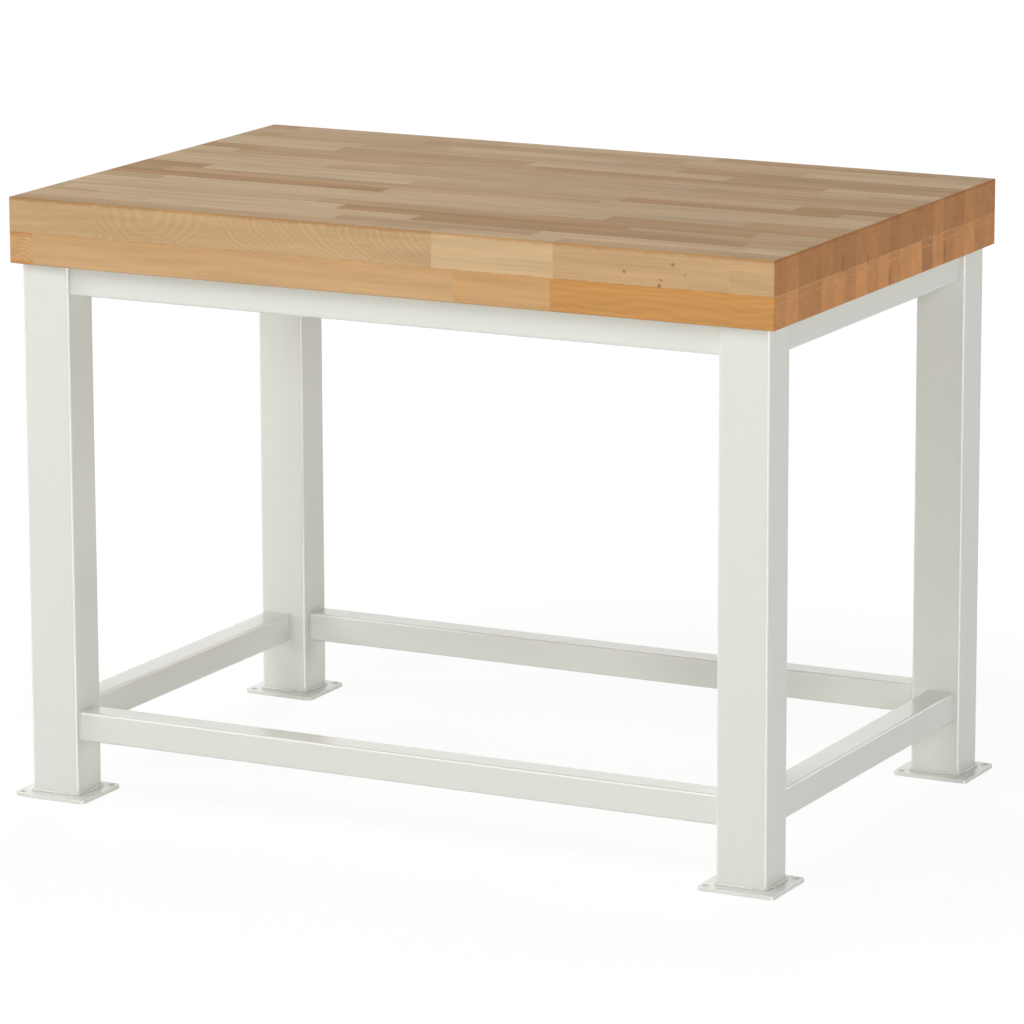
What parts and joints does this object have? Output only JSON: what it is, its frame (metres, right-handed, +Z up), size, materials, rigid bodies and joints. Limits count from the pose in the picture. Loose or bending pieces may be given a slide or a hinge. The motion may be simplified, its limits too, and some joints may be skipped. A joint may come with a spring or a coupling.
{
  "type": "heavy-duty workbench",
  "caption": "Heavy-duty workbench with a thick laminated beech top on a welded frame of grey powder-coated steel tube, with low rails between the legs and drilled floor plates.",
  "frame": {"origin": "on the floor, under the middle of the bench", "axes": "+X along the bench to the right, +Y from its front to its back, +Z up"},
  "size_m": [1.267, 0.817, 0.92],
  "materials": {
    "beech": "oiled, sanded laminated beech",
    "powder_coat": "smooth satin powder coat, light grey",
    "zinc_plated_steel": "bright zinc plate"
  },
  "bodies": {
    "root": {"worktop_upper_layer": "beech", "worktop_lower_layer": "beech", "worktop_end_stave": "beech", "leg_front_left": "powder_coat", "leg_front_right": "powder_coat", "leg_back_left": "powder_coat", "leg_back_right": "powder_coat", "floor_plate_front_left": "powder_coat", "floor_plate_front_right": "powder_coat", "floor_plate_back_left": "powder_coat", "floor_plate_back_right": "powder_coat", "foot_weld_front_left": "powder_coat", "foot_weld_front_right": "powder_coat", "foot_weld_back_left": "powder_coat", "foot_weld_back_right": "powder_coat", "upper_rail_front": "powder_coat", "upper_rail_back": "powder_coat", "upper_rail_left": "powder_coat", "upper_rail_right": "powder_coat", "lower_rail_front": "powder_coat", "lower_rail_back": "powder_coat", "lower_rail_left": "powder_coat", "lower_rail_right": "powder_coat", "top_screw_front_1": "zinc_plated_steel", "top_screw_front_2": "zinc_plated_steel", "top_screw_front_3": "zinc_plated_steel", "top_screw_front_4": "zinc_plated_steel", "top_screw_back_1": "zinc_plated_steel", "top_screw_back_2": "zinc_plated_steel", "top_screw_back_3": "zinc_plated_steel", "top_screw_back_4": "zinc_plated_steel", "screw_washer_front_1": "zinc_plated_steel", "screw_washer_front_2": "zinc_plated_steel", "screw_washer_front_3": "zinc_plated_steel", "screw_washer_front_4": "zinc_plated_steel", "screw_washer_back_1": "zinc_plated_steel", "screw_washer_back_2": "zinc_plated_steel", "screw_washer_back_3": "zinc_plated_steel", "screw_washer_back_4": "zinc_plated_steel"}
  },
  "joints": []
}
